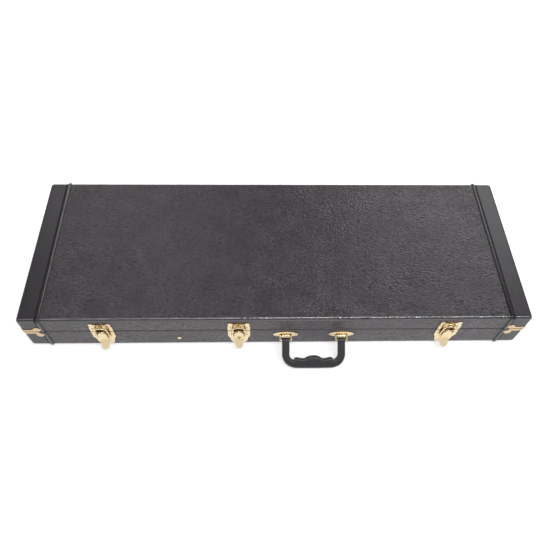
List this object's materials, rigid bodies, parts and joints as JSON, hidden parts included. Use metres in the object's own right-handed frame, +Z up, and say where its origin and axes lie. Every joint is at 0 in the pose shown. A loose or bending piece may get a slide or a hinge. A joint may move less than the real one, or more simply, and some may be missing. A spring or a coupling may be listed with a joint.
{
  "type": "guitar case",
  "caption": "Rectangular hard-shell case for an electric guitar, with a hinged lid, draw latches, a key lock, a drop handle and a padded interior.",
  "frame": {"origin": "on the floor that the case lies on, under the middle of the whole case's bounding box", "axes": "+X along the case's length, towards the end that holds the guitar's body; +Y from the front face with the latches and handle to the hinges; +Z up, out of the lid"},
  "size_m": [1.0438, 0.4334, 0.1121],
  "materials": {
    "plywood": "raw",
    "leathercloth": "grained satin",
    "end_cap_vinyl": "smooth satin",
    "piping_vinyl": "satin",
    "brass": "polished",
    "hinge_brass": "plated",
    "pin_steel": "bright",
    "plush": "short pile",
    "handle_plastic": "satin"
  },
  "bodies": {
    "base": {"base_front_rail": "plywood", "base_back_rail": "plywood", "base_left_rail": "plywood", "base_right_rail": "plywood", "base_covering": "leathercloth", "base_end_cap_left": "end_cap_vinyl", "base_end_cap_right": "end_cap_vinyl", "base_piping_left": "piping_vinyl", "base_piping_right": "piping_vinyl", "base_corner_trims": "brass", "base_trim_nails": "brass", "base_rivets": "brass", "base_hinge_leaves": "hinge_brass", "base_bottom_panel": "plywood", "hinge_pins": "pin_steel", "latch_pivot_pins": "pin_steel", "latch_plate_left": "brass", "latch_plate_middle": "brass", "latch_plate_right": "brass", "handle_plate_left": "brass", "handle_plate_right": "brass", "handle_rivets": "brass", "partition_rivet": "brass", "base_floor_pad": "plush", "front_bolster": "plush", "back_bolster": "plush", "tail_pad": "plush", "neck_rest": "plush", "neck_partition": "plush", "head_partition": "plush", "compartment_back_wall": "plush", "compartment_filler": "plush"},
    "lid": {"lid_front_rail": "plywood", "lid_back_rail": "plywood", "lid_left_rail": "plywood", "lid_right_rail": "plywood", "lid_top_panel": "plywood", "lid_covering": "leathercloth", "lid_end_cap_left": "end_cap_vinyl", "lid_end_cap_right": "end_cap_vinyl", "lid_piping_left": "piping_vinyl", "lid_piping_right": "piping_vinyl", "lid_corner_trims": "brass", "lid_trim_nails": "brass", "lid_rivets": "brass", "lid_hinge_leaves": "hinge_brass", "lid_pad": "plush", "catch_plate_left": "brass", "catch_plate_middle": "brass", "catch_plate_right": "brass"},
    "lever_left": {"latch_lever_left": "brass"},
    "bail_left": {"latch_bail_left": "brass"},
    "lever_middle": {"latch_lever_middle": "brass"},
    "bail_middle": {"latch_bail_middle": "brass"},
    "lever_right": {"latch_lever_right": "brass"},
    "bail_right": {"latch_bail_right": "brass"},
    "lock": {"lock_cylinder": "brass"},
    "rings": {"handle_rings": "brass"},
    "handle": {"handle_grip": "handle_plastic"},
    "compartment_door": {"compartment_lid": "plush"}
  },
  "joints": [
    {"name": "lid_hinge", "type": "hinge", "parent": "base", "child": "lid", "pos_m": [0, 0.21286, 0.0648], "axis": [-1, 0, 0], "range_deg": [0, 100]},
    {"name": "latch_left", "type": "hinge", "parent": "base", "child": "lever_left", "pos_m": [-0.358, -0.16014, 0.0658], "axis": [-1, 0, 0], "range_deg": [0, 130]},
    {"name": "bail_left_hinge", "type": "hinge", "parent": "lever_left", "child": "bail_left", "pos_m": [-0.358, -0.15974, 0.0478], "axis": [-1, 0, 0], "range_deg": [-130, 0]},
    {"name": "latch_middle", "type": "hinge", "parent": "base", "child": "lever_middle", "pos_m": [-0.079, -0.16014, 0.0658], "axis": [-1, 0, 0], "range_deg": [0, 130]},
    {"name": "bail_middle_hinge", "type": "hinge", "parent": "lever_middle", "child": "bail_middle", "pos_m": [-0.079, -0.15974, 0.0478], "axis": [-1, 0, 0], "range_deg": [-130, 0]},
    {"name": "latch_right", "type": "hinge", "parent": "base", "child": "lever_right", "pos_m": [0.356, -0.16014, 0.0658], "axis": [-1, 0, 0], "range_deg": [0, 130]},
    {"name": "bail_right_hinge", "type": "hinge", "parent": "lever_right", "child": "bail_right", "pos_m": [0.356, -0.15974, 0.0478], "axis": [-1, 0, 0], "range_deg": [-130, 0]},
    {"name": "lock_turn", "type": "hinge", "parent": "lever_middle", "child": "lock", "pos_m": [-0.079, -0.16014, 0.0448], "axis": [0, -1, 0], "range_deg": [0, 90]},
    {"name": "handle_rings_hinge", "type": "hinge", "parent": "base", "child": "rings", "pos_m": [0.077, -0.15974, 0.0453], "axis": [-1, 0, 0], "range_deg": [0, 65]},
    {"name": "handle_hinge", "type": "hinge", "parent": "rings", "child": "handle", "pos_m": [0.077, -0.16646, 0.03858], "axis": [-1, 0, 0], "range_deg": [0, 55]},
    {"name": "compartment_hinge", "type": "hinge", "parent": "base", "child": "compartment_door", "pos_m": [-0.2975, -0.06594, 0.0428], "axis": [1, 0, 0], "range_deg": [0, 90]}
  ],
  "couplings": [
    {"joint": "bail_left_hinge", "follows": "latch_left", "ratio": -1},
    {"joint": "bail_middle_hinge", "follows": "latch_middle", "ratio": -1},
    {"joint": "bail_right_hinge", "follows": "latch_right", "ratio": -1}
  ]
}
